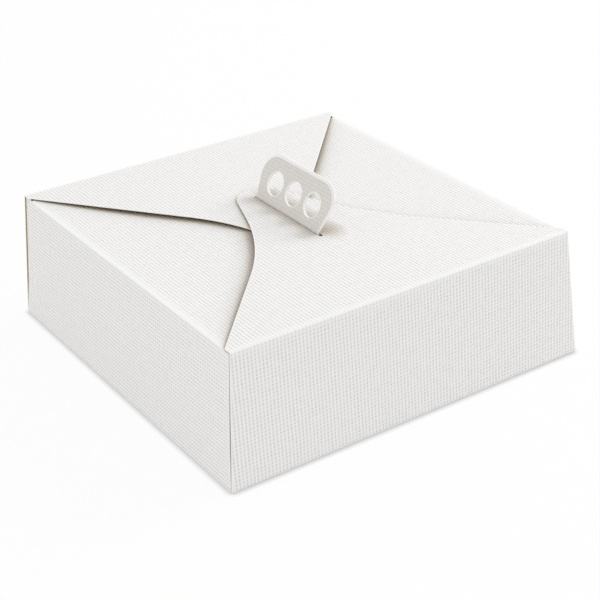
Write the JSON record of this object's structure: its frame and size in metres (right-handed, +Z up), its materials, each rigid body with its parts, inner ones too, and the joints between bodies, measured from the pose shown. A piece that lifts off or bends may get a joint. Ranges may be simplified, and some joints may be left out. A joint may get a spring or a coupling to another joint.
{
  "type": "cake box",
  "caption": "Low square carton folded from embossed white board; curved flaps interlock on top and a carrying handle with finger holes stands up through their slots.",
  "frame": {"origin": "middle of the base, on the surface the box stands on", "axes": "+Z up; +X along the front wall to the right, across the handle; +Y from the front wall to the back wall, along the handle"},
  "size_m": [0.31, 0.31, 0.1358],
  "materials": {
    "board": "matte, embossed with a fine square canvas grain",
    "handle": "matte, embossed with a fine square canvas grain"
  },
  "bodies": {
    "box_body": {"box": "board", "left_handle_tab": "handle", "right_handle_tab": "handle"},
    "front_flap": {"front_flap": "board"}
  },
  "joints": [
    {"name": "front_flap_hinge", "type": "hinge", "parent": "box_body", "child": "front_flap", "pos_m": [0, -0.1462, 0.101], "axis": [1, 0, 0], "range_deg": [0, 180], "deforming": ["left_handle_tab", "right_handle_tab"]}
  ]
}
